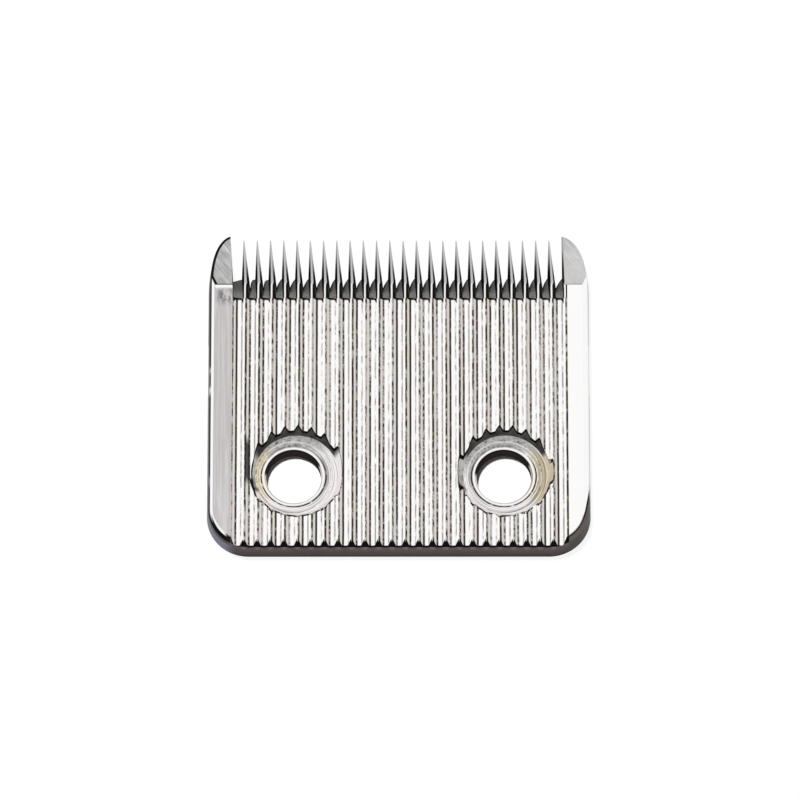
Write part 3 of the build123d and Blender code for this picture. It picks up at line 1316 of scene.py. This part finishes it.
def turned(cut, lower_radius, upper_radius, base, depth, shifted):
    """Take a round cutter out at both holes, by its two radii, base and depth."""
    size = cut.size
    start = size["Left Shift"] * shifted - size["Hole X"]
    end = size["Right Shift"] * shifted + size["Hole X"]
    row = cut.row(2, start, end - start)
    sockets = {
        "Vertices": round_steps,
        "Radius Top": upper_radius,
        "Radius Bottom": lower_radius,
        "Depth": depth,
    }
    cone = cut.add("GeometryNodeMeshCone", sockets=sockets)
    sockets = {"Geometry": cone, "Translation": cut.join(0.0, size["Front Shift"] * shifted, base)}
    cone = cut.add("GeometryNodeTransform", sockets=sockets)
    cut.take_out(cut.realize(cut.instance(row, cone)))


# %% Cut the seats
def cut_seats(piece):
    sizes = {**seat_sizes, "Thickness": plate_thickness, "Lift": lift}
    cut = Cut("screw_seats", sizes, seat_steel)
    size = cut.size
    seat_floor = size["Thickness"] - size["Seat Depth"]
    wall_height = size["Seat Depth"] + size["Lift"]
    mouth_radius = size["Seat Radius"] + size["Seat Slope"] * wall_height
    turned(cut, size["Seat Radius"], mouth_radius, seat_floor, wall_height, 1.0)

    bore = size["Hole Radius"]
    flare = size["Hole Chamfer"] / size["Chamfer Depth"]
    cone_radius = bore + size["Hole Chamfer"] + flare * size["Lift"]
    cone_depth = size["Chamfer Depth"] + size["Lift"]
    turned(cut, bore, cone_radius, seat_floor - size["Chamfer Depth"], cone_depth, 0.0)
    turned(cut, bore, bore, -size["Lift"], seat_floor + size["Lift"], 0.0)
    cut.put_on(piece)


cut_seats(blank)

# %% [markdown]
# ## Running face
#
# The cutter slides on the underside. A shallow channel relieves the middle of that
# face, so that only two narrow races have to be ground flat.


# %% Cut the relief channel
def cut_relief(piece):
    sizes = {**relief_sizes, "Half Width": plate_half + lift, "Lift": lift}
    cut = Cut("relief_channel", sizes, relief_steel)
    size = cut.size
    x, y, z = cut.here()
    level = cut.choose(z > 0.0, -size["Lift"], size["Depth"])
    place_y = cut.choose(y > 0.0, size["Start"] + level, size["End"] - level)
    cut.take_out(cut.place(cut.cube(), x * 2.0 * size["Half Width"], place_y, level))
    cut.put_on(piece)


cut_relief(blank)

# %% [markdown]
# ## From modifiers to a plain mesh
#
# The stack is evaluated once and its result becomes the piece's own mesh. Facets of
# the round surfaces are shaded smooth, and every edge sharper than a few degrees
# stays crisp, as ground steel is.


# %% Make the cuts real
def make_real(piece, sharp_degrees):
    """Turn the evaluated stack into the piece's mesh and drop the modifiers."""
    evaluated = piece.evaluated_get(bpy.context.evaluated_depsgraph_get())
    mesh = bpy.data.meshes.new_from_object(evaluated)
    mesh.name = piece.name
    piece.modifiers.clear()
    piece.data = mesh
    for name in ("fresh", "corner", "number"):
        if name in mesh.attributes:
            mesh.attributes.remove(mesh.attributes[name])
    mesh.polygons.foreach_set("use_smooth", [True] * len(mesh.polygons))
    mesh.set_sharp_from_angle(angle=math.radians(sharp_degrees))
    return mesh


skin = make_real(blank, sharp_degrees=9.0)
print("blade:", len(skin.polygons), "faces,", len(skin.materials), "finishes")

# %% Hand the blade to the frame
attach(blank, "root")
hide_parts("comb_blade")

# %% [markdown]
# ## Floor, light and camera
#
# The blade lies on a white table under a white sky. Both are plain white to the
# camera and to what the steel mirrors, through Light Path, so no extra light has to
# fall on the blade. A part of the table stays an ordinary pale surface that keeps a
# soft shadow, and inside the two screw holes all of it does, because there the rim
# throws a deep shadow. One small softbox on the far left gives the shadows their
# direction. Bare steel would mirror it as one glaring spot, so it is hidden from
# glossy rays, and a colour then renders as it is written.


# %% White as the camera, a mirror and glass see it
def plainly_seen(nodes):
    """1 for a camera, glossy or transmission ray, and 0 for the light itself."""
    kinds = ("Is Camera Ray", "Is Glossy Ray", "Is Transmission Ray")
    rays = [nodes.add("ShaderNodeLightPath", output=kind) for kind in kinds]
    return nodes.most(nodes.most(rays[0], rays[1]), rays[2])


# %% Finish of the table
table_grey = 0.88
white_share = 0.9


def table_finish():
    material = bpy.data.materials.new("pale_table")
    material.use_nodes = True
    nodes = Nodes(material.node_tree)
    material.node_tree.nodes.clear()
    grey = (table_grey, table_grey, table_grey, 1)
    pale = nodes.add("ShaderNodeBsdfDiffuse", sockets={"Color": grey})
    white = nodes.add("ShaderNodeEmission", sockets={"Color": (1, 1, 1, 1), "Strength": 1.0})
    x, y, z = nodes.split(nodes.add("ShaderNodeTexCoord", output="Object"))
    outside_hole = nodes.length(abs(x) - hole_x, y) > hole_radius + lift
    share = plainly_seen(nodes) * outside_hole * white_share
    surface = nodes.add("ShaderNodeMixShader", sockets={0: share, 1: pale, 2: white})
    nodes.add("ShaderNodeOutputMaterial", sockets={"Surface": surface})
    return material


# %% White table
table_half = 0.6
table_drop = 0.02 * MM
corner_signs = ((-1, -1), (1, -1), (1, 1), (-1, 1))
table_points = [(x * table_half, y * table_half, -table_drop) for x, y in corner_signs]
table_mesh = bpy.data.meshes.new("table")
table_mesh.from_pydata(table_points, [], [(0, 1, 2, 3)])
table_mesh.materials.append(table_finish())
table = bpy.data.objects.new("table", table_mesh)
bpy.context.scene.collection.objects.link(table)
print("table: %.1f m square" % (2 * table_half))

# %% White sky that lights the blade only a little
room_level = 0.06
world = bpy.data.worlds.new("studio")
world.use_nodes = True
world.node_tree.nodes.clear()
bpy.context.scene.world = world
room = Nodes(world.node_tree)
strength = room_level + (1 - room_level) * plainly_seen(room)
sky = room.add("ShaderNodeBackground", sockets={"Color": (1, 1, 1, 1), "Strength": strength})
room.add("ShaderNodeOutputWorld", sockets={"Surface": sky})
print("the sky lights the blade at", room_level)

# %% Softbox on the far left
blade_middle = Vector((0, 0.012, 0))
softbox_place = Vector((-0.14, 0.20, 0.86))
light = bpy.data.lights.new("far_softbox", "AREA")
light.size = 0.08
light.energy = 9.6
softbox = bpy.data.objects.new("far_softbox", light)
softbox.location = softbox_place
softbox.rotation_euler = (blade_middle - softbox_place).to_track_quat("-Z", "Y").to_euler()
softbox.visible_glossy = False
bpy.context.scene.collection.objects.link(softbox)
print("softbox: %.0f mm wide, %.1f W" % (light.size / MM, light.energy))

# %% [markdown]
# ## Camera
#
# The photograph was taken almost from above, 69 degrees up from the table, and from
# far enough away that the ribs stay nearly parallel. A long lens gives that.

# %% Camera
camera_height = math.radians(69.0)
camera_distance = 1.083
picture_middle = Vector((0.17 * MM, 11.34 * MM, 0))
sensor_width = 36.0
photo_width = 800
focal_pixels = 8415.3

camera_data = bpy.data.cameras.new("camera")
camera = bpy.data.objects.new("camera", camera_data)
bpy.context.scene.collection.objects.link(camera)
camera_data.sensor_width = sensor_width
camera_data.lens = focal_pixels / photo_width * sensor_width
camera_data.clip_start = 0.05
camera_data.clip_end = 20
camera.location = (
    0,
    -camera_distance * math.cos(camera_height),
    camera_distance * math.sin(camera_height),
)
aim = picture_middle - camera.location
camera.rotation_euler = aim.to_track_quat("-Z", "Y").to_euler()
bpy.context.scene.camera = camera
bpy.context.scene.view_settings.view_transform = "Standard"
print("lens: %.1f mm" % camera_data.lens)
